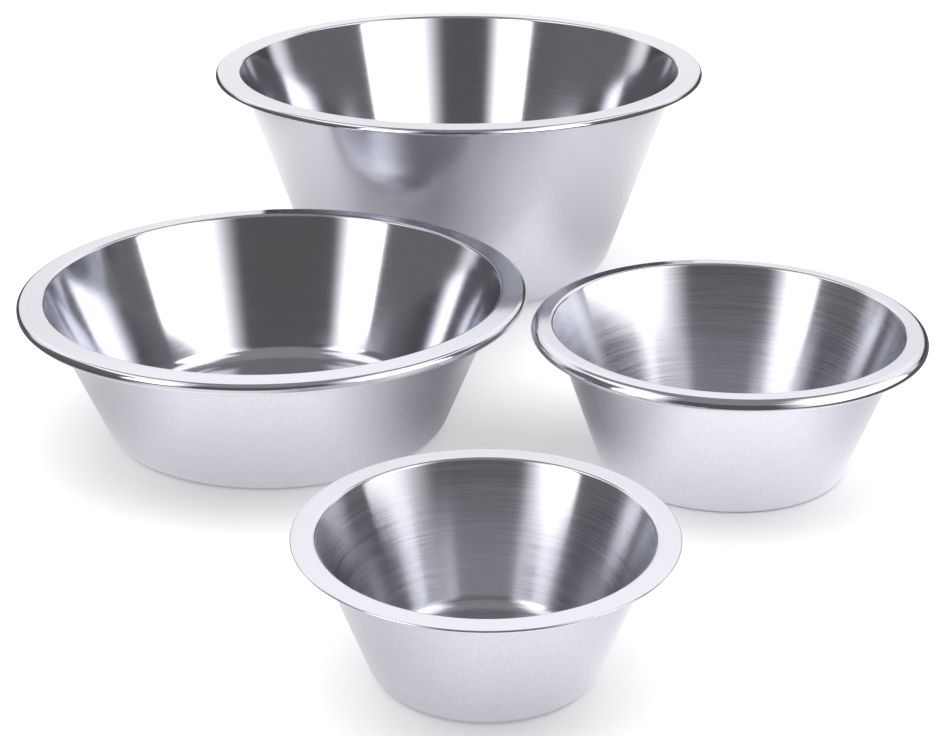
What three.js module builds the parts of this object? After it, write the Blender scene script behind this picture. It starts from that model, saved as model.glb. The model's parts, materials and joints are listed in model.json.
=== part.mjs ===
// Four conical bowls for ward and treatment use, set out together on one level surface.
// Each bowl is one round pressing in stainless sheet, so each one is a single closed solid.
// Millimetres, +Z up. The origin is on that surface, under the middle of the set's bounding box.
import * as THREE from 'three';

// ---- Sheet and rounding -------------------------------------------------------------------------
const SHEET = 1;                   // thickness of the steel sheet
const SECTORS = 48;                // straight sides of every turned circle
const CORNER_STEPS = 4;            // chords in the bend from base to wall
const LIP_STEPS = 3;               // chords in the bend from wall to flange
const EDGE_STEPS = 4;              // chords in the bend that turns the rim down
const CURL_STEPS = 3;              // chords in the curl under the rim
const CAP_STEPS = 2;               // chords round the cut end of the sheet

// ---- The bowls ----------------------------------------------------------------------------------
// height         surface to the top of the rim
// rimRadius      axis to the outermost point of the rim
// baseRadius     axis to where the outer wall line would meet the surface
// draft          degrees between the wall and the vertical
// cornerRadius   outside of the bend from base to wall
// lipRadius      top face of the bend from wall to flange
// flangeSlope    degrees by which the flange falls outwards
// edgeRadius     outer face of the bend that turns the rim straight down, or 0 for a flat flange
// skirt          straight length below that bend
// curlRadius     outer face of the bend that tucks the edge in under the rim
// curlTurn       degrees of that bend, or 0 where the edge isn't tucked in
const wide = {
  name: 'wide_bowl', height: 77.4, rimRadius: 132.6, baseRadius: 88.6, draft: 22.3, cornerRadius: 12.2,
  lipRadius: 2.2, flangeSlope: 3, edgeRadius: 2.6, skirt: 1.1, curlRadius: 1.7, curlTurn: 150,
};
const medium = {
  name: 'medium_bowl', height: 75.4, rimRadius: 99, baseRadius: 62.6, draft: 19.3, cornerRadius: 3,
  lipRadius: 2, flangeSlope: 2, edgeRadius: 4.4, skirt: 0, curlRadius: 1.5, curlTurn: 140,
};
const small = {
  name: 'small_bowl', height: 62.8, rimRadius: 80, baseRadius: 47.7, draft: 20.3, cornerRadius: 8.6,
  lipRadius: 1.8, flangeSlope: 0, edgeRadius: 0, skirt: 0, curlRadius: 0, curlTurn: 0,
};
const deep = {
  name: 'deep_bowl', height: 134.6, rimRadius: 152.5, baseRadius: 92.5, draft: 18.9, cornerRadius: 24,
  lipRadius: 2.4, flangeSlope: 1, edgeRadius: 2.4, skirt: 0.4, curlRadius: 0, curlTurn: 0,
};

// ---- Places on the surface ----------------------------------------------------------------------
// The wide bowl stands first. Each of the others stands at a bearing from it, in degrees from +X
// towards +Y, with a clear gap between the two solids on the line between their axes.
const MEDIUM_BEARING = -11.8;
const MEDIUM_GAP = 5.9;            // rim to rim
const SMALL_BEARING = -66.4;
const SMALL_GAP = 60.4;            // rim to rim
const DEEP_BEARING = 68.8;
const DEEP_GAP = 13.5;             // wide bowl's rim to the deep bowl's wall, under its flange

const radians = THREE.MathUtils.degToRad;

// Follows the middle of the sheet in the (radius, height) half-plane. Each point keeps its heading,
// so that both faces of the sheet can be laid off square to the path.
class SheetPath {
  constructor(r, z) {
    this.r = r;
    this.z = z;
    this.heading = 0;
    this.points = [];
    this.mark();
  }

  mark() {
    this.points.push({ r: this.r, z: this.z, heading: this.heading });
  }

  line(length) {
    if (length <= 0) return this;
    this.r += length * Math.cos(this.heading);
    this.z += length * Math.sin(this.heading);
    this.mark();
    return this;
  }

  // An arc of the given middle radius. A positive turn bends upwards and a negative one downwards.
  arc(radius, turn, steps) {
    const side = Math.sign(turn);
    const centreR = this.r - side * radius * Math.sin(this.heading);
    const centreZ = this.z + side * radius * Math.cos(this.heading);
    const start = this.heading;
    for (let i = 1; i <= steps; i += 1) {
      this.heading = start + (turn * i) / steps;
      this.r = centreR + side * radius * Math.sin(this.heading);
      this.z = centreZ - side * radius * Math.cos(this.heading);
      this.mark();
    }
    return this;
  }
}

// The lengths of sheet between the bends, which bring the bowl to its height and rim radius.
function sheetPath(bowl) {
  const half = SHEET / 2;
  const draft = radians(bowl.draft);
  const slope = radians(bowl.flangeSlope);
  const wallTurn = Math.PI / 2 - draft;
  const cornerMiddle = bowl.cornerRadius - half;
  const lipMiddle = bowl.lipRadius - half;
  const bendRise = 1 - Math.sin(draft);
  const baseFlat = bowl.baseRadius + bowl.cornerRadius * (Math.tan(draft) - 1 / Math.cos(draft));
  const wallRise = bowl.height - SHEET - (cornerMiddle + lipMiddle) * bendRise;

  const path = new SheetPath(0, half);
  path.line(baseFlat);
  path.arc(cornerMiddle, wallTurn, CORNER_STEPS);
  path.line(wallRise / Math.cos(draft));
  path.arc(lipMiddle, -(wallTurn + slope), LIP_STEPS);

  const turnedDown = bowl.edgeRadius > 0;
  const edgeMiddle = turnedDown ? bowl.edgeRadius - half : 0;
  const edgeReach = turnedDown ? edgeMiddle * (1 - Math.sin(slope)) : 0;
  path.line((bowl.rimRadius - half - edgeReach - path.r) / Math.cos(slope));
  if (turnedDown) {
    path.arc(edgeMiddle, slope - Math.PI / 2, EDGE_STEPS);
    path.line(bowl.skirt);
  }
  if (bowl.curlTurn > 0) path.arc(bowl.curlRadius - half, -radians(bowl.curlTurn), CURL_STEPS);
  return path.points;
}

// The closed outline of the sheet: out along its lower face, round the cut end, back along its
// upper face, and down the axis.
function sheetOutline(bowl) {
  const points = sheetPath(bowl);
  const half = SHEET / 2;
  const face = (point, side) => new THREE.Vector2(
    Math.max(point.r - side * half * Math.sin(point.heading), 0),
    point.z + side * half * Math.cos(point.heading),
  );
  const lower = points.map((point) => face(point, -1));
  const upper = points.map((point) => face(point, 1)).reverse();
  const end = points[points.length - 1];
  const cap = [];
  for (let i = 1; i < CAP_STEPS; i += 1) {
    const angle = end.heading - Math.PI / 2 + (Math.PI * i) / CAP_STEPS;
    cap.push(new THREE.Vector2(end.r + half * Math.cos(angle), end.z + half * Math.sin(angle)));
  }
  return [...lower, ...cap, ...upper];
}

// The outer wall's radius at a height above the surface.
function wallRadius(bowl, height) {
  return bowl.baseRadius + height * Math.tan(radians(bowl.draft));
}

function turnedBowl(bowl, colour, roughness) {
  const geometry = new THREE.LatheGeometry(sheetOutline(bowl), SECTORS);
  geometry.rotateX(Math.PI / 2);
  const material = new THREE.MeshStandardMaterial({ color: colour, roughness, metalness: 1 });
  const mesh = new THREE.Mesh(geometry, material);
  mesh.name = bowl.name;
  return mesh;
}

// A point at a bearing and a distance from another.
function offset(from, bearing, distance) {
  const angle = radians(bearing);
  return new THREE.Vector2(from.x + distance * Math.cos(angle), from.y + distance * Math.sin(angle));
}

const widePlace = new THREE.Vector2(0, 0);
const mediumPlace = offset(widePlace, MEDIUM_BEARING, wide.rimRadius + MEDIUM_GAP + medium.rimRadius);
const smallPlace = offset(widePlace, SMALL_BEARING, wide.rimRadius + SMALL_GAP + small.rimRadius);
const deepReach = wallRadius(deep, wide.height);
const deepPlace = offset(widePlace, DEEP_BEARING, wide.rimRadius + DEEP_GAP + deepReach);

const placed = [
  { bowl: wide, place: widePlace, colour: 0xd4d4d8, roughness: 0.22 },
  { bowl: medium, place: mediumPlace, colour: 0xd6d6da, roughness: 0.22 },
  { bowl: small, place: smallPlace, colour: 0xd2d2d6, roughness: 0.22 },
  { bowl: deep, place: deepPlace, colour: 0xd0d0d6, roughness: 0.25 },
];

// The middle of the set's bounding box along one axis.
function middle(axis) {
  const low = Math.min(...placed.map(({ bowl, place }) => place[axis] - bowl.rimRadius));
  const high = Math.max(...placed.map(({ bowl, place }) => place[axis] + bowl.rimRadius));
  return (low + high) / 2;
}

const set = new THREE.Group();
for (const { bowl, place, colour, roughness } of placed) {
  const mesh = turnedBowl(bowl, colour, roughness);
  mesh.position.set(place.x - middle('x'), place.y - middle('y'), 0);
  set.add(mesh);
}

export default set;
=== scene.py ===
"""A set of four conical bowls in stainless steel sheet, standing on a pale floor.

Each bowl is one sheet: a flat round base, a straight leaning wall and a turned-out rim, and each rim is
finished in its own way. Every bowl is a surface of revolution about its own upright axis, in metres.
"""

import json
import math

import bpy
import numpy as np
from mathutils import Matrix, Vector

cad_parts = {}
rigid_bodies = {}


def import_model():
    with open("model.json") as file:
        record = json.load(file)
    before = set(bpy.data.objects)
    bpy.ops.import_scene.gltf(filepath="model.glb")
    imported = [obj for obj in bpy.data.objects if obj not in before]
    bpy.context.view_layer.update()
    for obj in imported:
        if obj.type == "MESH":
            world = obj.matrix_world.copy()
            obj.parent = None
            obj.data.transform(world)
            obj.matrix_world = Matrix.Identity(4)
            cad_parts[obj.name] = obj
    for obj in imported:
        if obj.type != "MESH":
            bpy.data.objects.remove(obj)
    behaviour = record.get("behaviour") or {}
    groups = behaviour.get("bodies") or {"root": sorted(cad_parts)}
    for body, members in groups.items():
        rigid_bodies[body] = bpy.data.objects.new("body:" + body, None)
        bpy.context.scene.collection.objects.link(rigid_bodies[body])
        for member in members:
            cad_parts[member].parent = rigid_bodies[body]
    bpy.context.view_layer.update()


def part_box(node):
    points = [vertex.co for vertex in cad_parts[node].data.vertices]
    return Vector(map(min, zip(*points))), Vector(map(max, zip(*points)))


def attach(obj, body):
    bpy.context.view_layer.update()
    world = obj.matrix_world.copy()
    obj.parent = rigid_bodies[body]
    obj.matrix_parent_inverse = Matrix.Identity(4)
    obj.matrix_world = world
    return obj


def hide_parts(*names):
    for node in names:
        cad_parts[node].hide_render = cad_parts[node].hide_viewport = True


bl_info = {
    "name": "Conical bowl set",
    "version": (1, 0, 0),
    "blender": (4, 5, 0),
    "location": "View3D > Sidebar > Bowls",
    "description": "Builds four conical steel bowls and a plain studio round them",
    "category": "Add Mesh",
}

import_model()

# how finely a bowl is drawn: columns round its axis, steps round a bend, along a straight run and round the
# cut edge, and the close guard at each end of a straight run
SECTORS = 320
ANGLES = 2 * math.pi * np.arange(SECTORS) / SECTORS
BEND_STEP = math.radians(6.0)
LINE_STEP = 0.008
CAP_STEPS = 8
GUARD = 0.0004

# the three finishes of a bowl, in the order of its material slots
OUTSIDE, INSIDE, RIM = 0, 1, 2


def node_height(node):
    """Top of a bowl above the floor."""
    return float(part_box(node)[1][2])


def node_radius(node):
    """Half of a bowl's width."""
    low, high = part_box(node)
    return float(high[0] - low[0]) / 2


def node_axis(node):
    """Where a bowl's axis meets the floor."""
    low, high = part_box(node)
    return float(low[0] + high[0]) / 2, float(low[1] + high[1]) / 2


def metres(name, description, default):
    """A length that a user may change."""
    return bpy.props.FloatProperty(
        name=name, description=description, default=default, min=0.0, precision=4, unit="LENGTH"
    )


def degrees(name, description, default):
    """An angle that a user may change, given here in degrees."""
    return bpy.props.FloatProperty(
        name=name, description=description, default=math.radians(default), unit="ROTATION"
    )


def share(name, description, default):
    """A number from 0 to 1 that a user may change."""
    return bpy.props.FloatProperty(
        name=name, description=description, default=default, min=0.0, max=1.0, subtype="FACTOR"
    )


def colour(name, description, default):
    """A colour that a user may change."""
    return bpy.props.FloatVectorProperty(
        name=name, description=description, default=default, size=3, min=0.0, max=1.0, subtype="COLOR"
    )


def strength(name, description, default):
    """A brightness that a user may change."""
    return bpy.props.FloatProperty(name=name, description=description, default=default, min=0.0)


HEIGHT_HELP = "Floor to the top of the rim"
RIM_HELP = "Axis to the outermost edge of the rim"
BASE_HELP = "Axis to the point where the line of the outer wall meets the floor"
DRAFT_HELP = "Lean of the wall off the vertical"
CORNER_HELP = "Outer radius of the bend between base and wall"
LIP_HELP = "Outer radius of the bend between wall and rim"
SLOPE_HELP = "Fall of the rim towards its edge"
EDGE_HELP = "Outer radius of the bend that turns the rim's edge down"
SKIRT_HELP = "Straight length below the rim's edge"
CURL_HELP = "Outer radius of the curl that hides the cut edge"
TURN_HELP = "How far the curl goes round"


class WideBowlForm(bpy.types.PropertyGroup):
    """Sizes of the wide bowl, whose rim has a short skirt with its cut edge curled in."""

    height: metres("Height", HEIGHT_HELP, node_height("wide_bowl"))
    rim_radius: metres("Rim radius", RIM_HELP, node_radius("wide_bowl"))
    base_radius: metres("Base radius", BASE_HELP, 0.0886)
    draft: degrees("Draft", DRAFT_HELP, 22.3)
    corner_radius: metres("Corner radius", CORNER_HELP, 0.0122)
    lip_radius: metres("Lip radius", LIP_HELP, 0.0022)
    rim_slope: degrees("Rim slope", SLOPE_HELP, 3.0)
    edge_radius: metres("Edge radius", EDGE_HELP, 0.0026)
    skirt: metres("Skirt", SKIRT_HELP, 0.0011)
    curl_radius: metres("Curl radius", CURL_HELP, 0.0017)
    curl_turn: degrees("Curl turn", TURN_HELP, 150.0)


class MediumBowlForm(bpy.types.PropertyGroup):
    """Sizes of the medium bowl, whose rim rolls over in one round bead."""

    height: metres("Height", HEIGHT_HELP, node_height("medium_bowl"))
    rim_radius: metres("Rim radius", RIM_HELP, node_radius("medium_bowl"))
    base_radius: metres("Base radius", BASE_HELP, 0.0626)
    draft: degrees("Draft", DRAFT_HELP, 19.3)
    corner_radius: metres("Corner radius", CORNER_HELP, 0.003)
    lip_radius: metres("Lip radius", LIP_HELP, 0.002)
    rim_slope: degrees("Rim slope", SLOPE_HELP, 2.0)
    edge_radius: metres("Edge radius", EDGE_HELP, 0.0044)
    skirt: metres("Skirt", SKIRT_HELP, 0.0)
    curl_radius: metres("Curl radius", CURL_HELP, 0.0015)
    curl_turn: degrees("Curl turn", TURN_HELP, 140.0)


class SmallBowlForm(bpy.types.PropertyGroup):
    """Sizes of the small bowl, whose flat rim ends in a bare rounded edge."""

    height: metres("Height", HEIGHT_HELP, node_height("small_bowl"))
    rim_radius: metres("Rim radius", RIM_HELP, node_radius("small_bowl"))
    base_radius: metres("Base radius", BASE_HELP, 0.0477)
    draft: degrees("Draft", DRAFT_HELP, 20.3)
    corner_radius: metres("Corner radius", CORNER_HELP, 0.0086)
    lip_radius: metres("Lip radius", LIP_HELP, 0.0018)
    rim_slope: degrees("Rim slope", SLOPE_HELP, 0.0)
    edge_radius: metres("Edge radius", EDGE_HELP, 0.0)
    skirt: metres("Skirt", SKIRT_HELP, 0.0)
    curl_radius: metres("Curl radius", CURL_HELP, 0.0)
    curl_turn: degrees("Curl turn", TURN_HELP, 0.0)


class DeepBowlForm(bpy.types.PropertyGroup):
    """Sizes of the deep bowl, whose broad rim has its edge turned straight down."""

    height: metres("Height", HEIGHT_HELP, node_height("deep_bowl"))
    rim_radius: metres("Rim radius", RIM_HELP, node_radius("deep_bowl"))
    base_radius: metres("Base radius", BASE_HELP, 0.0925)
    draft: degrees("Draft", DRAFT_HELP, 18.9)
    corner_radius: metres("Corner radius", CORNER_HELP, 0.024)
    lip_radius: metres("Lip radius", LIP_HELP, 0.0024)
    rim_slope: degrees("Rim slope", SLOPE_HELP, 1.0)
    edge_radius: metres("Edge radius", EDGE_HELP, 0.0024)
    skirt: metres("Skirt", SKIRT_HELP, 0.0004)
    curl_radius: metres("Curl radius", CURL_HELP, 0.0)
    curl_turn: degrees("Curl turn", TURN_HELP, 0.0)


class SteelFinish(bpy.types.PropertyGroup):
    """The sheet's thickness and the look of its faces."""

    sheet: metres("Sheet", "Thickness of the sheet", 0.001)
    steel: colour("Steel", "Colour of the bare steel", (0.625, 0.627, 0.675))
    outside_roughness: share("Outside roughness", "Gloss of the satin outer face, 0 for a mirror", 0.24)
    polished_roughness: share("Polished roughness", "Gloss of a polished inner face, 0 for a mirror", 0.13)
    brushed_roughness: share("Brushed roughness", "Gloss of a brushed inner face, 0 for a mirror", 0.2)
    rim_roughness: share("Rim roughness", "Gloss of the rim, 0 for a mirror", 0.1)
    smudges: share("Smudges", "How much handling shows", 0.35)


class StudioLook(bpy.types.PropertyGroup):
    """The floor, the light and the camera."""

    floor: colour("Floor", "Colour of the floor", (0.9, 0.9, 0.9))
    surround: strength("Surround", "Brightness of the surround as the camera sees it", 1.3)
    backdrop: strength("Backdrop", "Brightness of the backdrop behind the bowls", 1.45)
    room: strength("Room", "Brightness of the unlit part of the room behind the camera", 0.165)
    room_side: strength("Room sides", "Brightness of the unlit part of the room at both sides", 0.24)
    ceiling: strength("Ceiling", "Brightness of the ceiling", 0.42)
    side_bank: strength("Side banks", "Brightness of the high banks at both sides", 2.0)
    floor_light: strength("Floor light", "Brightness of the large light over the floor", 1.8)
    # a painted glow of the floor for the camera alone, which lifts its soft shadows
    floor_glow: strength("Floor glow", "Extra brightness of the floor for the camera", 0.3)
    softbox: strength("Softboxes", "Brightness of the pair of softboxes that each bowl has", 3.0)
    camera_lens: bpy.props.FloatProperty(
        name="Lens", description="Focal length for a 36 mm wide frame", default=74.4, min=1.0, unit="CAMERA"
    )
    camera_side: bpy.props.FloatProperty(
        name="Camera side", description="Camera's place along X", default=0.0034, unit="LENGTH"
    )
    camera_back: metres("Camera back", "Camera's distance in front of the set's middle", 0.9916)
    camera_height: metres("Camera height", "Camera's height above the floor", 0.4316)
    camera_pitch: degrees("Camera pitch", "How far the camera looks down", 22.75)


class BowlSet(bpy.types.PropertyGroup):
    """All the settings of the bowl set."""

    wide: bpy.props.PointerProperty(type=WideBowlForm)
    medium: bpy.props.PointerProperty(type=MediumBowlForm)
    small: bpy.props.PointerProperty(type=SmallBowlForm)
    deep: bpy.props.PointerProperty(type=DeepBowlForm)
    finish: bpy.props.PointerProperty(type=SteelFinish)
    studio: bpy.props.PointerProperty(type=StudioLook)


# ---------------------------------------------------------------- the sheet's path


def line_stations(length):
    """Distances along a straight run: even steps, with one close guard at each end so that the shading of
    the bend beside it stays out of the flat."""
    guard = min(GUARD, length / 4)
    inner = np.linspace(guard, length - guard, max(2, math.ceil(length / LINE_STEP)))
    return np.concatenate([inner, [length]])


def add_line(path, length):
    """Carry the path straight on: each new point is the last one plus its distance times the heading."""
    if length <= 0:
        return
    r, z, heading = path[-1][0][-1], path[-1][1][-1], path[-1][2][-1]
    along = line_stations(length)
    path.append((r + along * math.cos(heading), z + along * math.sin(heading), np.full(along.size, heading)))


def add_bend(path, radius, turn):
    """Carry the path round a circle: the centre lies one radius to the left of the heading for a left turn
    and to the right for a right one, and the heading changes evenly to the end."""
    if radius <= 0 or turn == 0:
        return
    r, z, heading = path[-1][0][-1], path[-1][1][-1], path[-1][2][-1]
    side = math.copysign(1.0, turn)
    middle_r = r - side * radius * math.sin(heading)
    middle_z = z + side * radius * math.cos(heading)
    steps = max(3, math.ceil(abs(turn) / BEND_STEP))
    turned = heading + turn * np.arange(1, steps + 1) / steps
    path.append(
        (middle_r + side * radius * np.sin(turned), middle_z - side * radius * np.cos(turned), turned)
    )


def sheet_middle(form, sheet):
    """The middle of the sheet from the axis to its cut edge, as radius, height and heading: along the base,
    round the corner, up the wall, round the lip, out along the rim, over its edge, down the skirt and round
    the curl. The rim's straight run takes whatever length brings the bowl to its radius. Last comes the
    number of points before the lip."""
    half = sheet / 2
    wall_turn = math.pi / 2 - form.draft
    corner, lip = form.corner_radius - half, form.lip_radius - half
    base = form.base_radius + form.corner_radius * (math.tan(form.draft) - 1 / math.cos(form.draft))
    rise = form.height - sheet - (corner + lip) * (1 - math.sin(form.draft))
    path = [(np.array([0.0]), np.array([half]), np.array([0.0]))]
    add_line(path, base)
    add_bend(path, corner, wall_turn)
    add_line(path, rise / math.cos(form.draft))
    before_lip = sum(part[0].size for part in path)
    add_bend(path, lip, -(wall_turn + form.rim_slope))

    edge = max(form.edge_radius - half, 0.0)
    edge_reach = edge * (1 - math.sin(form.rim_slope))
    flat = (form.rim_radius - half - edge_reach - path[-1][0][-1]) / math.cos(form.rim_slope)
    add_line(path, flat)
    add_bend(path, edge, form.rim_slope - math.pi / 2)
    add_line(path, form.skirt)
    add_bend(path, form.curl_radius - half, -form.curl_turn)
    r, z, heading = (np.concatenate([part[k] for part in path]) for k in range(3))
    return r, z, heading, before_lip


def sheet_outline(form, sheet):
    """The closed outline of the sheet's section from the axis out along its lower face, round the cut edge
    and back along its upper face: each face is the middle moved half a thickness square to its heading, and
    the cut edge is a half circle. Returns radius, height, length from the axis and finish."""
    half = sheet / 2
    r, z, heading, before_lip = sheet_middle(form, sheet)
    across = np.stack([-np.sin(heading), np.cos(heading)])
    lower = np.stack([r, z]) - half * across
    upper = np.stack([r, z]) + half * across
    swing = heading[-1] - math.pi / 2 + math.pi * np.arange(1, CAP_STEPS) / CAP_STEPS
    cap = np.stack([r[-1] + half * np.cos(swing), z[-1] + half * np.sin(swing)])
    lower[0, 0] = upper[0, 0] = 0.0
    outline = np.concatenate([lower, cap, upper[:, ::-1]], axis=1)
    length = np.concatenate([[0.0], np.cumsum(np.hypot(*np.diff(np.stack([r, z]), axis=1)))])
    along = np.concatenate([length, np.full(cap.shape[1], length[-1]), length[::-1]])
    rim = np.arange(r.size) >= before_lip
    finish = np.concatenate(
        [np.where(rim, RIM, OUTSIDE), np.full(cap.shape[1], RIM), np.where(rim, RIM, INSIDE)[::-1]]
    )
    return outline[0], outline[1], along, finish


def sheet_points(r, z, centre):
    """The points of a bowl, row by row. A point at angle a and radius r stands at the axis plus r times
    (cos a, sin a). The outline's first and last point lie on the axis, and come once each, at the end."""
    ring_x = centre[0] + np.outer(r[1:-1], np.cos(ANGLES))
    ring_y = centre[1] + np.outer(r[1:-1], np.sin(ANGLES))
    ring_z = np.repeat(z[1:-1, None], SECTORS, axis=1)
    ring = np.stack([ring_x, ring_y, ring_z], axis=-1).reshape(-1, 3)
    poles = np.array([[centre[0], centre[1], z[0]], [centre[0], centre[1], z[-1]]])
    return np.concatenate([ring, poles])


def sheet_grain(along):
    """The grain at each point: cos a and sin a of its angle, and the length along the sheet from the axis.
    On the axis it is nought."""
    turn = np.stack([np.cos(ANGLES), np.sin(ANGLES)], axis=-1)
    lengths = np.repeat(along[1:-1], SECTORS)[:, None]
    on_rings = np.concatenate([np.tile(turn, (along.size - 2, 1)), lengths], axis=1)
    return np.concatenate([on_rings, np.zeros((2, 3))])


def sheet_faces(rows):
    """The corners of all faces and how many each face has. A quad joins two neighbours in a row to the same
    two in the next row, the last column joins the first, and a fan of triangles closes each end."""
    low_pole, high_pole = rows * SECTORS, rows * SECTORS + 1
    column = np.arange(SECTORS)
    following = (column + 1) % SECTORS
    start = (np.arange(rows - 1) * SECTORS)[:, None]
    quads = np.stack(
        [start + column, start + following, start + SECTORS + following, start + SECTORS + column], axis=-1
    ).reshape(-1, 4)
    top_row = (rows - 1) * SECTORS
    under = np.stack([np.full(SECTORS, low_pole), following, column], axis=-1)
    over = np.stack([np.full(SECTORS, high_pole), top_row + column, top_row + following], axis=-1)
    corners = np.concatenate([quads.ravel(), under.ravel(), over.ravel()]).astype(np.int32)
    sizes = np.concatenate([np.full(len(quads), 4), np.full(2 * SECTORS, 3)]).astype(np.int32)
    return corners, sizes


def sheet_unwrapping(along):
    """The UV of each face's corners: u is the share of the way round the axis, and v is the length along the
    sheet from the axis."""
    column = np.arange(SECTORS)
    v_rows = np.stack([along[1:-2], along[1:-2], along[2:-1], along[2:-1]], axis=-1)
    v_quads = np.repeat(v_rows, SECTORS, axis=0)
    u_row = np.stack([column, column + 1, column + 1, column], axis=-1) / SECTORS
    u_quads = np.tile(u_row, (len(v_rows), 1))
    u_fan = (column + 0.5) / SECTORS
    u_under = np.stack([u_fan, (column + 1) / SECTORS, column / SECTORS], axis=-1)
    u_over = np.stack([u_fan, column / SECTORS, (column + 1) / SECTORS], axis=-1)
    v_under = np.tile([0.0, along[1], along[1]], SECTORS)
    v_over = np.tile([0.0, along[-2], along[-2]], SECTORS)
    u = np.concatenate([u_quads.ravel(), u_under.ravel(), u_over.ravel()])
    v = np.concatenate([v_quads.ravel(), v_under, v_over])
    return np.stack([u, v], axis=-1)


def turned_sheet(name, node, form, sheet, materials):
    """A bowl: the outline of the sheet's section carried round the axis of its CAD node. The row of faces
    between a wall and its rim has the wall's finish."""
    r, z, along, finish = sheet_outline(form, sheet)
    points = sheet_points(r, z, node_axis(node))
    corners, sizes = sheet_faces(r.size - 2)
    starts = np.concatenate([[0], np.cumsum(sizes)[:-1]]).astype(np.int32)
    row_finish = np.minimum(finish[1:-2], finish[2:-1])
    face_finish = np.concatenate(
        [np.repeat(row_finish, SECTORS), np.full(SECTORS, OUTSIDE), np.full(SECTORS, INSIDE)]
    ).astype(np.int32)

    mesh = bpy.data.meshes.new(name)
    mesh.vertices.add(len(points))
    mesh.vertices.foreach_set("co", points.astype(np.float32).ravel())
    mesh.loops.add(corners.size)
    mesh.loops.foreach_set("vertex_index", corners)
    mesh.polygons.add(sizes.size)
    mesh.polygons.foreach_set("loop_start", starts)
    mesh.polygons.foreach_set("loop_total", sizes)
    mesh.polygons.foreach_set("material_index", face_finish)
    mesh.polygons.foreach_set("use_smooth", np.ones(sizes.size, dtype=bool))
    grain = mesh.attributes.new("grain", "FLOAT_VECTOR", "POINT")
    grain.data.foreach_set("vector", sheet_grain(along).astype(np.float32).ravel())
    unwrapping = mesh.uv_layers.new(name="sheet")
    unwrapping.data.foreach_set("uv", sheet_unwrapping(along).astype(np.float32).ravel())
    mesh.update(calc_edges=True)
    mesh.validate()
    for material in materials:
        mesh.materials.append(material)
    bowl = bpy.data.objects.new(name, mesh)
    bpy.context.scene.collection.objects.link(bowl)
    return bowl


# ---------------------------------------------------------------- finishes

# the layers of turning lines: how tight the noise is round the bowl and along the sheet, its detail and its
# roughness
FINE_LINES = (1.8, 2000.0, 2.0, 0.6)
MIDDLING_LINES = (0.8, 850.0, 2.0, 0.5)
BROAD_LINES = (0.7, 95.0, 1.0, 0.5)

# the layers of handling: scale, detail and roughness of the noise, and the part of it that is kept
PATCHES, PATCHES_KEPT = (14.0, 3.0, 0.55), (0.5, 0.72)
STREAKS, STREAKS_KEPT = (90.0, 4.0, 0.65), (0.35, 0.7)
SPECKLES = (700.0, 2.0, 0.6)

# the middle of a noise, the effect of the broad lines on the gloss as a share of the fine lines' effect, the
# part of lines and speckle that makes the shade, and the turn that draws highlights out across the lines
NOISE_MIDDLE = 0.5
BROAD_SHARE = 0.2
SHADE_KEPT = (0.35, 0.65)
QUARTER_TURN = 0.25

# for each finish: the depth of its lines in metres, how much lines and smudges change its gloss, how far its
# highlights are drawn out, how much of its shade is speckle instead of lines, and how dark the shade goes
FACE_FINISHES = {
    "satin_outside": dict(
        line_depth=0.000003, line_rough=0.1, smudge_rough=0.03, anisotropy=0.6, speckle=0.6, shading=0.07
    ),
    "polished_inside": dict(
        line_depth=0.0000006, line_rough=0.12, smudge_rough=0.1, anisotropy=0.7, speckle=0.2, shading=0.04
    ),
    "brushed_inside": dict(
        line_depth=0.0000015, line_rough=0.2, smudge_rough=0.04, anisotropy=0.95, speckle=0.1, shading=0.1
    ),
    "bright_rim": dict(
        line_depth=0.0000005, line_rough=0.03, smudge_rough=0.08, anisotropy=0.3, speckle=0.3, shading=0.03
    ),
}


def new_group(name, inputs, outputs):
    """An empty shader node group with the given inputs and outputs, each a name and a kind of socket; returns
    the group and the nodes at its two ends."""
    group = bpy.data.node_groups.new(name, "ShaderNodeTree")
    for label, kind in inputs:
        group.interface.new_socket(name=label, in_out="INPUT", socket_type=kind)
    for label, kind in outputs:
        group.interface.new_socket(name=label, in_out="OUTPUT", socket_type=kind)
    return group, group.nodes.new("NodeGroupInput"), group.nodes.new("NodeGroupOutput")


def join(tree, source, target):
    """Link a socket to another, or set it to a plain number."""
    if isinstance(source, (int, float)):
        target.default_value = source
    else:
        tree.links.new(source, target)


def maths(tree, operation, first, second=None):
    """A Math node on sockets or plain numbers; returns its result."""
    node = tree.nodes.new("ShaderNodeMath")
    node.operation = operation
    join(tree, first, node.inputs[0])
    if second is not None:
        join(tree, second, node.inputs[1])
    return node.outputs[0]


def ramp(tree, value, low, high, to_low=0.0, to_high=1.0):
    """A smooth step of a value from low to high; returns its result."""
    node = tree.nodes.new("ShaderNodeMapRange")
    node.interpolation_type = "SMOOTHSTEP"
    join(tree, value, node.inputs["Value"])
    for label, number in (("From Min", low), ("From Max", high), ("To Min", to_low), ("To Max", to_high)):
        node.inputs[label].default_value = number
    return node.outputs["Result"]


def noise(tree, vector, scale, detail, roughness):
    """A Noise Texture on a vector; returns its value."""
    node = tree.nodes.new("ShaderNodeTexNoise")
    join(tree, vector, node.inputs["Vector"])
    node.inputs["Scale"].default_value = scale
    node.inputs["Detail"].default_value = detail
    node.inputs["Roughness"].default_value = roughness
    return node.outputs["Fac"]


def stretched(tree, vector, factors):
    """A vector with each of its parts multiplied."""
    node = tree.nodes.new("ShaderNodeVectorMath")
    node.operation = "MULTIPLY"
    join(tree, vector, node.inputs[0])
    node.inputs[1].default_value = factors
    return node.outputs[0]


def line_layer(tree, grain, round_bowl, along_sheet, detail, roughness):
    """One layer of turning lines: noise that is drawn out round the bowl and tight along the sheet."""
    tightened = stretched(tree, grain, (round_bowl, round_bowl, along_sheet))
    return noise(tree, tightened, 1.0, detail, roughness)


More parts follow.
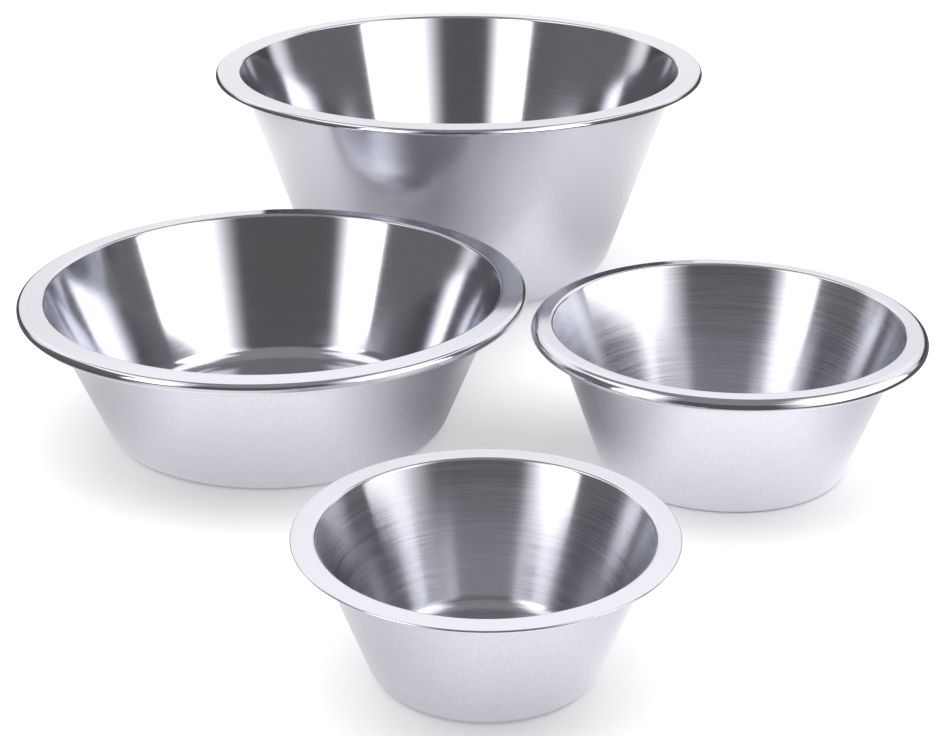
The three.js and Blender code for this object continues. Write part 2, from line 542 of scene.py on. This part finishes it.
def turning_lines_group():
    """Lines left by the turning tool and the polishing band: the mean of a fine and a middling layer, and
    broad bands as a layer of their own."""
    group, given, result = new_group(
        "turning_lines",
        [("Grain", "NodeSocketVector")],
        [("Lines", "NodeSocketFloat"), ("Broad", "NodeSocketFloat")],
    )
    grain = given.outputs["Grain"]
    fine, middling = line_layer(group, grain, *FINE_LINES), line_layer(group, grain, *MIDDLING_LINES)
    both = maths(group, "MULTIPLY", maths(group, "ADD", fine, middling), 0.5)
    join(group, both, result.inputs["Lines"])
    join(group, line_layer(group, grain, *BROAD_LINES), result.inputs["Broad"])


def handling_group():
    """Soft smudges where the bowl has been held and wiped: broad noise, cut so that only its peaks show,
    broken up by a finer one. The speckle is a very fine noise all over."""
    group, given, result = new_group(
        "handling",
        [("Place", "NodeSocketVector")],
        [("Mask", "NodeSocketFloat"), ("Speckle", "NodeSocketFloat")],
    )
    place = given.outputs["Place"]
    patches = ramp(group, noise(group, place, *PATCHES), *PATCHES_KEPT)
    streaks = ramp(group, noise(group, place, *STREAKS), *STREAKS_KEPT)
    join(group, maths(group, "MULTIPLY", patches, streaks), result.inputs["Mask"])
    join(group, noise(group, place, *SPECKLES), result.inputs["Speckle"])


def placed_group(tree, name, label, source):
    """One of the node groups, placed in a material and fed at the labelled input; returns its outputs."""
    node = tree.nodes.new("ShaderNodeGroup")
    node.node_tree = bpy.data.node_groups[name]
    join(tree, source, node.inputs[label])
    return node.outputs


def steel_face(name, finish, roughness, line_depth, line_rough, smudge_rough, anisotropy, speckle, shading):
    """A steel face: plain metal whose gloss varies with the turning lines and the smudges, whose colour is a
    shade darker in the troughs of lines and speckle, and whose normal follows the lines."""
    material = bpy.data.materials.new(name)
    material.use_nodes = True
    tree = material.node_tree
    shader = tree.nodes["Principled BSDF"]
    shader.inputs["Metallic"].default_value = 1.0
    shader.inputs["Anisotropic"].default_value = anisotropy
    shader.inputs["Anisotropic Rotation"].default_value = QUARTER_TURN

    grain = tree.nodes.new("ShaderNodeAttribute")
    grain.attribute_name = "grain"
    lines = placed_group(tree, "turning_lines", "Grain", grain.outputs["Vector"])
    place = tree.nodes.new("ShaderNodeTexCoord")
    handling = placed_group(tree, "handling", "Place", place.outputs["Object"])

    narrow_swing = maths(tree, "SUBTRACT", lines["Lines"], NOISE_MIDDLE)
    broad_swing = maths(tree, "SUBTRACT", lines["Broad"], NOISE_MIDDLE)
    uneven = maths(tree, "MULTIPLY", narrow_swing, line_rough)
    broad = maths(tree, "MULTIPLY", broad_swing, line_rough * BROAD_SHARE)
    greasy = maths(tree, "MULTIPLY", handling["Mask"], smudge_rough * finish.smudges)
    gloss = maths(tree, "ADD", maths(tree, "ADD", uneven, broad), maths(tree, "ADD", greasy, roughness))
    join(tree, gloss, shader.inputs["Roughness"])

    shade = tree.nodes.new("ShaderNodeMix")
    shade.data_type = "RGBA"
    shade.inputs["A"].default_value = (*[channel * (1 - shading) for channel in finish.steel], 1.0)
    shade.inputs["B"].default_value = (*finish.steel, 1.0)
    dots = maths(tree, "MULTIPLY", handling["Speckle"], speckle)
    streaks = maths(tree, "MULTIPLY", lines["Lines"], 1 - speckle)
    join(tree, ramp(tree, maths(tree, "ADD", dots, streaks), *SHADE_KEPT), shade.inputs["Factor"])
    join(tree, shade.outputs["Result"], shader.inputs["Base Color"])

    bump = tree.nodes.new("ShaderNodeBump")
    bump.inputs["Strength"].default_value = 1.0
    bump.inputs["Distance"].default_value = line_depth
    join(tree, lines["Lines"], bump.inputs["Height"])
    join(tree, bump.outputs["Normal"], shader.inputs["Normal"])

    tangent = tree.nodes.new("ShaderNodeTangent")
    tangent.direction_type = "UV_MAP"
    tangent.uv_map = "sheet"
    join(tree, tangent.outputs["Tangent"], shader.inputs["Tangent"])
    return material


def bowl_finishes(inside):
    """The satin outside, the chosen inside and the bright rim; each is made once for the whole set."""
    finish = bpy.context.scene.bowl_set.finish
    gloss = {
        "satin_outside": finish.outside_roughness,
        "polished_inside": finish.polished_roughness,
        "brushed_inside": finish.brushed_roughness,
        "bright_rim": finish.rim_roughness,
    }
    if "turning_lines" not in bpy.data.node_groups:
        turning_lines_group()
        handling_group()
    made = bpy.data.materials
    return [
        made.get(name) or steel_face(name, finish, gloss[name], **FACE_FINISHES[name])
        for name in ("satin_outside", inside, "bright_rim")
    ]


def press_bowl(node, body, form, inside):
    """Build one bowl in place of its CAD node."""
    settings = bpy.context.scene.bowl_set
    name = node.replace("_bowl", "_pressing")
    bowl = turned_sheet(name, node, form, settings.finish.sheet, bowl_finishes(inside))
    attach(bowl, body)
    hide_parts(node)


# ---------------------------------------------------------------- studio

# where the parts of the room begin and end, in degrees: each step is an angle and how soft it is to either
# side. A SIDE is measured from straight behind the camera, a HEIGHT from the horizon.
ROOM_SIDE = (50.0, 25.0)
BACKDROP_SIDE = (112.0, 6.0)
BACKDROP_HEIGHT = (3.0, 2.0)
UPPER_BACKDROP_HEIGHT = (26.0, 4.0)
FLAG_NEAR_SIDE, FLAG_FAR_SIDE = (124.0, 4.0), (161.0, 4.0)
FLAG_HEIGHT = (14.0, 4.0)
CEILING_HEIGHT = (44.0, 5.0)
BANK_NEAR_SIDE, BANK_FAR_SIDE = (55.0, 6.0), (126.0, 4.0)
BANK_LOW_HEIGHT, BANK_TOP_HEIGHT = (43.0, 3.0), (69.0, 3.0)
GROUND_HEIGHT = (-1.0, 1.0)

# the brightness of the upper backdrop as a share of the lower one's, of the dark flags and of the ground, and
# the room's paint, which takes a share of every brightness in it
UPPER_BACKDROP = 1.2
FLAG = 0.1
GROUND = 0.9
ROOM_PAINT = (0.8, 0.8, 0.8, 1.0)

# for each bowl, the right softbox and the left one: where it starts and ends in degrees, the share of it that
# fades, and its brightness as a share of the studio's setting; then how far off and how tall they all are
SOFTBOXES = {
    "wide_bowl": ((24.0, 83.5, 0.55, 1.0), (-60.0, -29.0, 0.6, 1.0)),
    "medium_bowl": ((20.0, 107.0, 0.5, 0.9), (-71.0, -34.0, 0.7, 0.9)),
    "small_bowl": ((33.0, 90.5, 0.8, 0.65), (-68.0, -24.0, 0.6, 0.85)),
    "deep_bowl": ((8.0, 59.5, 0.55, 1.0), (-43.5, -15.0, 0.6, 1.0)),
}
SOFTBOX_REACH = 2.0
SOFTBOX_HEIGHT = 2.2

# for each bowl, the glow of the floor round it: its brightness and reach, and where along X it is dark, full,
# full and dark again; then how high above the floor they all lie
TABLE_GLOWS = {
    "wide_bowl": (0.52, 0.19, -0.135, -0.06, 0.04, 0.11),
    "medium_bowl": (0.6, 0.15, -0.1, -0.045, 0.05, 0.13),
    "small_bowl": (0.5, 0.125, -0.115, 0.0, 0.055, 0.12),
    "deep_bowl": (0.42, 0.14, -0.12, -0.06, 0.08, 0.135),
}
GLOW_HEIGHT = 0.0008

# the light over the floor
FLOOR_LIGHT_PLACE = (0.0, 0.2, 2.6)
FLOOR_LIGHT_WIDTH = 3.6

# the floor, the pale table that the bowls see themselves on, and the painted dark beyond it, which only their
# reflections show
FLOOR_REACH = 12.0
FLOOR_ROUGHNESS = 0.8
FLOOR_SHINE = 0.1
TABLE_SIDE = 0.27
TABLE_FRONT = 0.42
TABLE_FADE = 0.06
# painted dark on the floor beyond the table, seen only in the bowls' reflections
PAINTED_DARK_FLOOR = (0.1, 0.1, 0.1, 1.0)

# the camera's frame in mm and its nearest sight in metres, and how often light may be thrown back
FRAME_WIDTH = 36.0
NEAREST_SIGHT = 0.01
BOUNCES = 16
MIRROR_BOUNCES = 12


def above(tree, angle, step):
    """A mask that is 0 below a step and 1 above it."""
    middle, soft = step
    return ramp(tree, angle, math.radians(middle - soft), math.radians(middle + soft))


def below(tree, angle, step):
    """A mask that is 1 below a step and 0 above it."""
    middle, soft = step
    return ramp(tree, angle, math.radians(middle - soft), math.radians(middle + soft), 1.0, 0.0)


def overlap(tree, first, *others):
    """Where all the masks meet: their product."""
    for mask in others:
        first = maths(tree, "MULTIPLY", first, mask)
    return first


def layer(tree, under, mask, brightness):
    """A brightness, changed to another where the mask is 1."""
    node = tree.nodes.new("ShaderNodeMix")
    node.data_type = "FLOAT"
    join(tree, mask, node.inputs["Factor"])
    join(tree, under, node.inputs["A"])
    node.inputs["B"].default_value = brightness
    return node.outputs["Result"]


def room_brightness(tree, side, height, look):
    """The room round the bowls, by side and height. It is dark behind the camera and a little paler at both
    sides. A bright backdrop fills the far part, with a dark flag low down on each side of its middle. A pale
    ceiling closes the top, with a bright bank on each side, and the ground below is pale."""
    backdrop = overlap(tree, above(tree, side, BACKDROP_SIDE), above(tree, height, BACKDROP_HEIGHT))
    upper = overlap(tree, backdrop, above(tree, height, UPPER_BACKDROP_HEIGHT))
    flag_sides = overlap(tree, above(tree, side, FLAG_NEAR_SIDE), below(tree, side, FLAG_FAR_SIDE))
    flags = overlap(tree, flag_sides, below(tree, height, FLAG_HEIGHT))
    bank_sides = overlap(tree, above(tree, side, BANK_NEAR_SIDE), below(tree, side, BANK_FAR_SIDE))
    banks = overlap(
        tree, bank_sides, above(tree, height, BANK_LOW_HEIGHT), below(tree, height, BANK_TOP_HEIGHT)
    )
    room = layer(tree, look.room, above(tree, side, ROOM_SIDE), look.room_side)
    for mask, brightness in (
        (backdrop, look.backdrop),
        (upper, look.backdrop * UPPER_BACKDROP),
        (flags, FLAG),
        (above(tree, height, CEILING_HEIGHT), look.ceiling),
        (banks, look.side_bank),
        (below(tree, height, GROUND_HEIGHT), GROUND),
    ):
        room = layer(tree, room, mask, brightness)
    return room


def studio_world(look):
    """The room as light from every direction: the height is the arcsine of z, and the side is the arctangent
    of x over minus y, without its sign. A camera sees an even pale surround instead."""
    world = bpy.data.worlds.new("studio")
    world.use_nodes = True
    tree = world.node_tree
    light = tree.nodes["Background"]
    light.inputs["Color"].default_value = ROOM_PAINT
    direction = tree.nodes.new("ShaderNodeTexCoord")
    parts = tree.nodes.new("ShaderNodeSeparateXYZ")
    join(tree, direction.outputs["Generated"], parts.inputs[0])
    x, y, z = parts.outputs
    side = maths(tree, "ABSOLUTE", maths(tree, "ARCTAN2", x, maths(tree, "MULTIPLY", y, -1.0)))
    height = maths(tree, "ARCSINE", z)
    path = tree.nodes.new("ShaderNodeLightPath")
    room = room_brightness(tree, side, height, look)
    join(tree, layer(tree, room, path.outputs["Is Camera Ray"], look.surround), light.inputs["Strength"])
    bpy.context.scene.world = world


def area_light(name, place, turn, width, height, radiance):
    """A rectangular soft light of one brightness all over; its power is that times pi times its area."""
    light = bpy.data.lights.new(name, "AREA")
    light.shape = "RECTANGLE"
    light.size, light.size_y = width, height
    light.energy = radiance * math.pi * width * height
    lamp = bpy.data.objects.new(name, light)
    lamp.matrix_world = Matrix.Translation(place) @ turn
    lamp.visible_camera = False
    bpy.context.scene.collection.objects.link(lamp)
    return lamp


def light_only(lamp, bowl):
    """Let a light reach one bowl and nothing else."""
    lit = bpy.data.collections.new(lamp.name)
    lit.objects.link(bpy.data.objects[bowl.replace("_bowl", "_pressing")])
    lamp.light_linking.receiver_collection = lit


def fade_across(lamp, *sides):
    """Let a light's brightness change softly over its width. Each side is given as (dark, full): the light is
    out at the share dark of the width and whole at the share full."""
    light = lamp.data
    light.use_nodes = True
    tree = light.node_tree
    place = tree.nodes.new("ShaderNodeNewGeometry")
    parts = tree.nodes.new("ShaderNodeSeparateXYZ")
    join(tree, place.outputs["Parametric"], parts.inputs[0])
    steps = []
    for dark, full in sides:
        low, high = min(dark, full), max(dark, full)
        rising = full > dark
        steps.append(ramp(tree, parts.outputs[0], low, high, float(not rising), float(rising)))
    join(tree, overlap(tree, *steps), tree.nodes["Emission"].inputs["Strength"])


def softbox(name, bowl, start, end, soft, radiance):
    """A tall softbox for one bowl. It stands on the floor and spans two azimuths from the bowl's axis, in
    degrees to the right of straight behind the camera. The edge towards the camera fades over the share soft
    of its width."""
    centre_x, centre_y = node_axis(bowl)
    angles = np.radians([start, end])
    ends = np.stack([np.sin(angles), -np.cos(angles)]) * SOFTBOX_REACH
    middle, span = ends.mean(axis=1), np.hypot(*(ends[:, 1] - ends[:, 0]))
    facing = math.atan2(middle[0], -middle[1])
    turn = Matrix.Rotation(facing, 4, "Z") @ Matrix.Rotation(math.pi / 2, 4, "X")
    place = (centre_x + middle[0], centre_y + middle[1], SOFTBOX_HEIGHT / 2)
    lamp = area_light(name, place, turn, float(span), SOFTBOX_HEIGHT, radiance)
    fade_across(lamp, (0.0, soft) if middle[0] > 0 else (1.0, 1.0 - soft))
    light_only(lamp, bowl)


def table_glow(bowl, radiance, reach, left_dark, left_full, right_full, right_dark):
    """A glowing panel on the floor round one bowl, which lights its outer face from below. It reaches as far
    as reach from the bowl's axis. Along X it comes up softly from left_dark to left_full and goes down again
    from right_full to right_dark, all measured from the axis."""
    centre_x, centre_y = node_axis(bowl)
    facing_up = Matrix.Rotation(math.pi, 4, "X")
    place = (centre_x, centre_y, GLOW_HEIGHT)
    lamp = area_light(bowl + "_table_glow", place, facing_up, 2 * reach, 2 * reach, radiance)
    sides = (left_dark, left_full), (right_dark, right_full)
    fade_across(lamp, *[[0.5 + x / (2 * reach) for x in side] for side in sides])
    light_only(lamp, bowl)


def floor_light(look):
    """A very large soft light over the set. It lights the floor, and the steel doesn't mirror it."""
    facing_down = Matrix.Identity(4)
    width = FLOOR_LIGHT_WIDTH
    lamp = area_light("floor_light", FLOOR_LIGHT_PLACE, facing_down, width, width, look.floor_light)
    lamp.visible_glossy = False


def floor_paint(look):
    """A pale matt floor. For the camera it is even and glows a little, a painted glow that lifts its soft
    shadows;
    for the bowls it is a pale table that ends in painted dark a short way in front of them and beside them, a
    painted darkness that shows only in their reflections."""
    material = bpy.data.materials.new("pale_floor")
    material.use_nodes = True
    tree = material.node_tree
    shader = tree.nodes["Principled BSDF"]
    shader.inputs["Roughness"].default_value = FLOOR_ROUGHNESS
    shader.inputs["Specular IOR Level"].default_value = FLOOR_SHINE
    place = tree.nodes.new("ShaderNodeTexCoord")
    parts = tree.nodes.new("ShaderNodeSeparateXYZ")
    join(tree, place.outputs["Object"], parts.inputs[0])
    x, y, _ = parts.outputs
    beside = ramp(tree, maths(tree, "ABSOLUTE", x), TABLE_SIDE, TABLE_SIDE + TABLE_FADE, 1.0, 0.0)
    before = ramp(tree, y, -TABLE_FRONT - TABLE_FADE, -TABLE_FRONT)
    path = tree.nodes.new("ShaderNodeLightPath")
    camera = path.outputs["Is Camera Ray"]
    pale = maths(tree, "MAXIMUM", overlap(tree, beside, before), camera)
    paint = tree.nodes.new("ShaderNodeMix")
    paint.data_type = "RGBA"
    join(tree, pale, paint.inputs["Factor"])
    # painted dark floor beyond the table, which only the bowls' reflections show
    paint.inputs["A"].default_value = PAINTED_DARK_FLOOR
    paint.inputs["B"].default_value = (*look.floor, 1.0)
    join(tree, paint.outputs["Result"], shader.inputs["Base Color"])
    shader.inputs["Emission Color"].default_value = (1.0, 1.0, 1.0, 1.0)
    # painted glow for the camera alone, which lifts the floor's soft shadows
    join(tree, maths(tree, "MULTIPLY", camera, look.floor_glow), shader.inputs["Emission Strength"])
    return material


def studio_floor(look):
    """A large even floor, its top at height nought."""
    far = FLOOR_REACH
    mesh = bpy.data.meshes.new("studio_floor")
    corners = [(-far, -far, 0), (far, -far, 0), (far, far, 0), (-far, far, 0)]
    mesh.from_pydata(corners, [], [(0, 1, 2, 3)])
    floor = bpy.data.objects.new("studio_floor", mesh)
    bpy.context.scene.collection.objects.link(floor)
    mesh.materials.append(floor_paint(look))


def studio_camera(look):
    """The camera, looking along +Y and down by its pitch."""
    lens = bpy.data.cameras.new("studio_camera")
    lens.sensor_width = FRAME_WIDTH
    lens.lens = look.camera_lens
    lens.clip_start = NEAREST_SIGHT
    camera = bpy.data.objects.new("studio_camera", lens)
    place = Matrix.Translation((look.camera_side, -look.camera_back, look.camera_height))
    camera.matrix_world = place @ Matrix.Rotation(math.pi / 2 - look.camera_pitch, 4, "X")
    bpy.context.scene.collection.objects.link(camera)
    bpy.context.scene.camera = camera


# ---------------------------------------------------------------- operators


class BOWLSET_OT_wide(bpy.types.Operator):
    """Build the wide bowl"""

    bl_idname = "bowlset.wide"
    bl_label = "Wide bowl"

    def execute(self, context):
        press_bowl("wide_bowl", "wide", context.scene.bowl_set.wide, "polished_inside")
        return {"FINISHED"}


class BOWLSET_OT_medium(bpy.types.Operator):
    """Build the medium bowl"""

    bl_idname = "bowlset.medium"
    bl_label = "Medium bowl"

    def execute(self, context):
        press_bowl("medium_bowl", "medium", context.scene.bowl_set.medium, "brushed_inside")
        return {"FINISHED"}


class BOWLSET_OT_small(bpy.types.Operator):
    """Build the small bowl"""

    bl_idname = "bowlset.small"
    bl_label = "Small bowl"

    def execute(self, context):
        press_bowl("small_bowl", "small", context.scene.bowl_set.small, "brushed_inside")
        return {"FINISHED"}


class BOWLSET_OT_deep(bpy.types.Operator):
    """Build the deep bowl"""

    bl_idname = "bowlset.deep"
    bl_label = "Deep bowl"

    def execute(self, context):
        press_bowl("deep_bowl", "deep", context.scene.bowl_set.deep, "polished_inside")
        return {"FINISHED"}


class BOWLSET_OT_stage(bpy.types.Operator):
    """Build the floor, the light and the camera"""

    bl_idname = "bowlset.stage"
    bl_label = "Studio"

    def execute(self, context):
        look = context.scene.bowl_set.studio
        studio_world(look)
        floor_light(look)
        for bowl, glow in TABLE_GLOWS.items():
            table_glow(bowl, *glow)
        for bowl, pair in SOFTBOXES.items():
            for side, (start, end, soft, level) in zip(("right", "left"), pair):
                softbox(f"{bowl}_{side}_softbox", bowl, start, end, soft, look.softbox * level)
        studio_floor(look)
        studio_camera(look)
        context.scene.view_settings.view_transform = "Standard"
        context.scene.cycles.max_bounces = BOUNCES
        context.scene.cycles.glossy_bounces = MIRROR_BOUNCES
        return {"FINISHED"}


class BOWLSET_PT_panel(bpy.types.Panel):
    """Lists the bowls and the studio"""

    bl_idname = "BOWLSET_PT_panel"
    bl_label = "Conical bowl set"
    bl_space_type = "VIEW_3D"
    bl_region_type = "UI"
    bl_category = "Bowls"

    def draw(self, context):
        settings = context.scene.bowl_set
        for operator, group in PANEL_ROWS:
            box = self.layout.box()
            if operator is not None:
                box.operator(operator)
            chosen = getattr(settings, group)
            for prop in chosen.bl_rna.properties:
                if prop.identifier not in ("rna_type", "name"):
                    box.prop(chosen, prop.identifier)


PANEL_ROWS = (
    ("bowlset.wide", "wide"),
    ("bowlset.medium", "medium"),
    ("bowlset.small", "small"),
    ("bowlset.deep", "deep"),
    ("bowlset.stage", "studio"),
    (None, "finish"),
)

CLASSES = (
    WideBowlForm,
    MediumBowlForm,
    SmallBowlForm,
    DeepBowlForm,
    SteelFinish,
    StudioLook,
    BowlSet,
    BOWLSET_OT_wide,
    BOWLSET_OT_medium,
    BOWLSET_OT_small,
    BOWLSET_OT_deep,
    BOWLSET_OT_stage,
    BOWLSET_PT_panel,
)


def register():
    """Add the settings, the operators and the panel."""
    for cls in CLASSES:
        bpy.utils.register_class(cls)
    bpy.types.Scene.bowl_set = bpy.props.PointerProperty(type=BowlSet)


def unregister():
    """Take them away again."""
    del bpy.types.Scene.bowl_set
    for cls in reversed(CLASSES):
        bpy.utils.unregister_class(cls)


def main():
    """Build the whole set."""
    register()
    bpy.ops.bowlset.wide()
    bpy.ops.bowlset.medium()
    bpy.ops.bowlset.small()
    bpy.ops.bowlset.deep()
    bpy.ops.bowlset.stage()


if __name__ == "__main__":
    main()
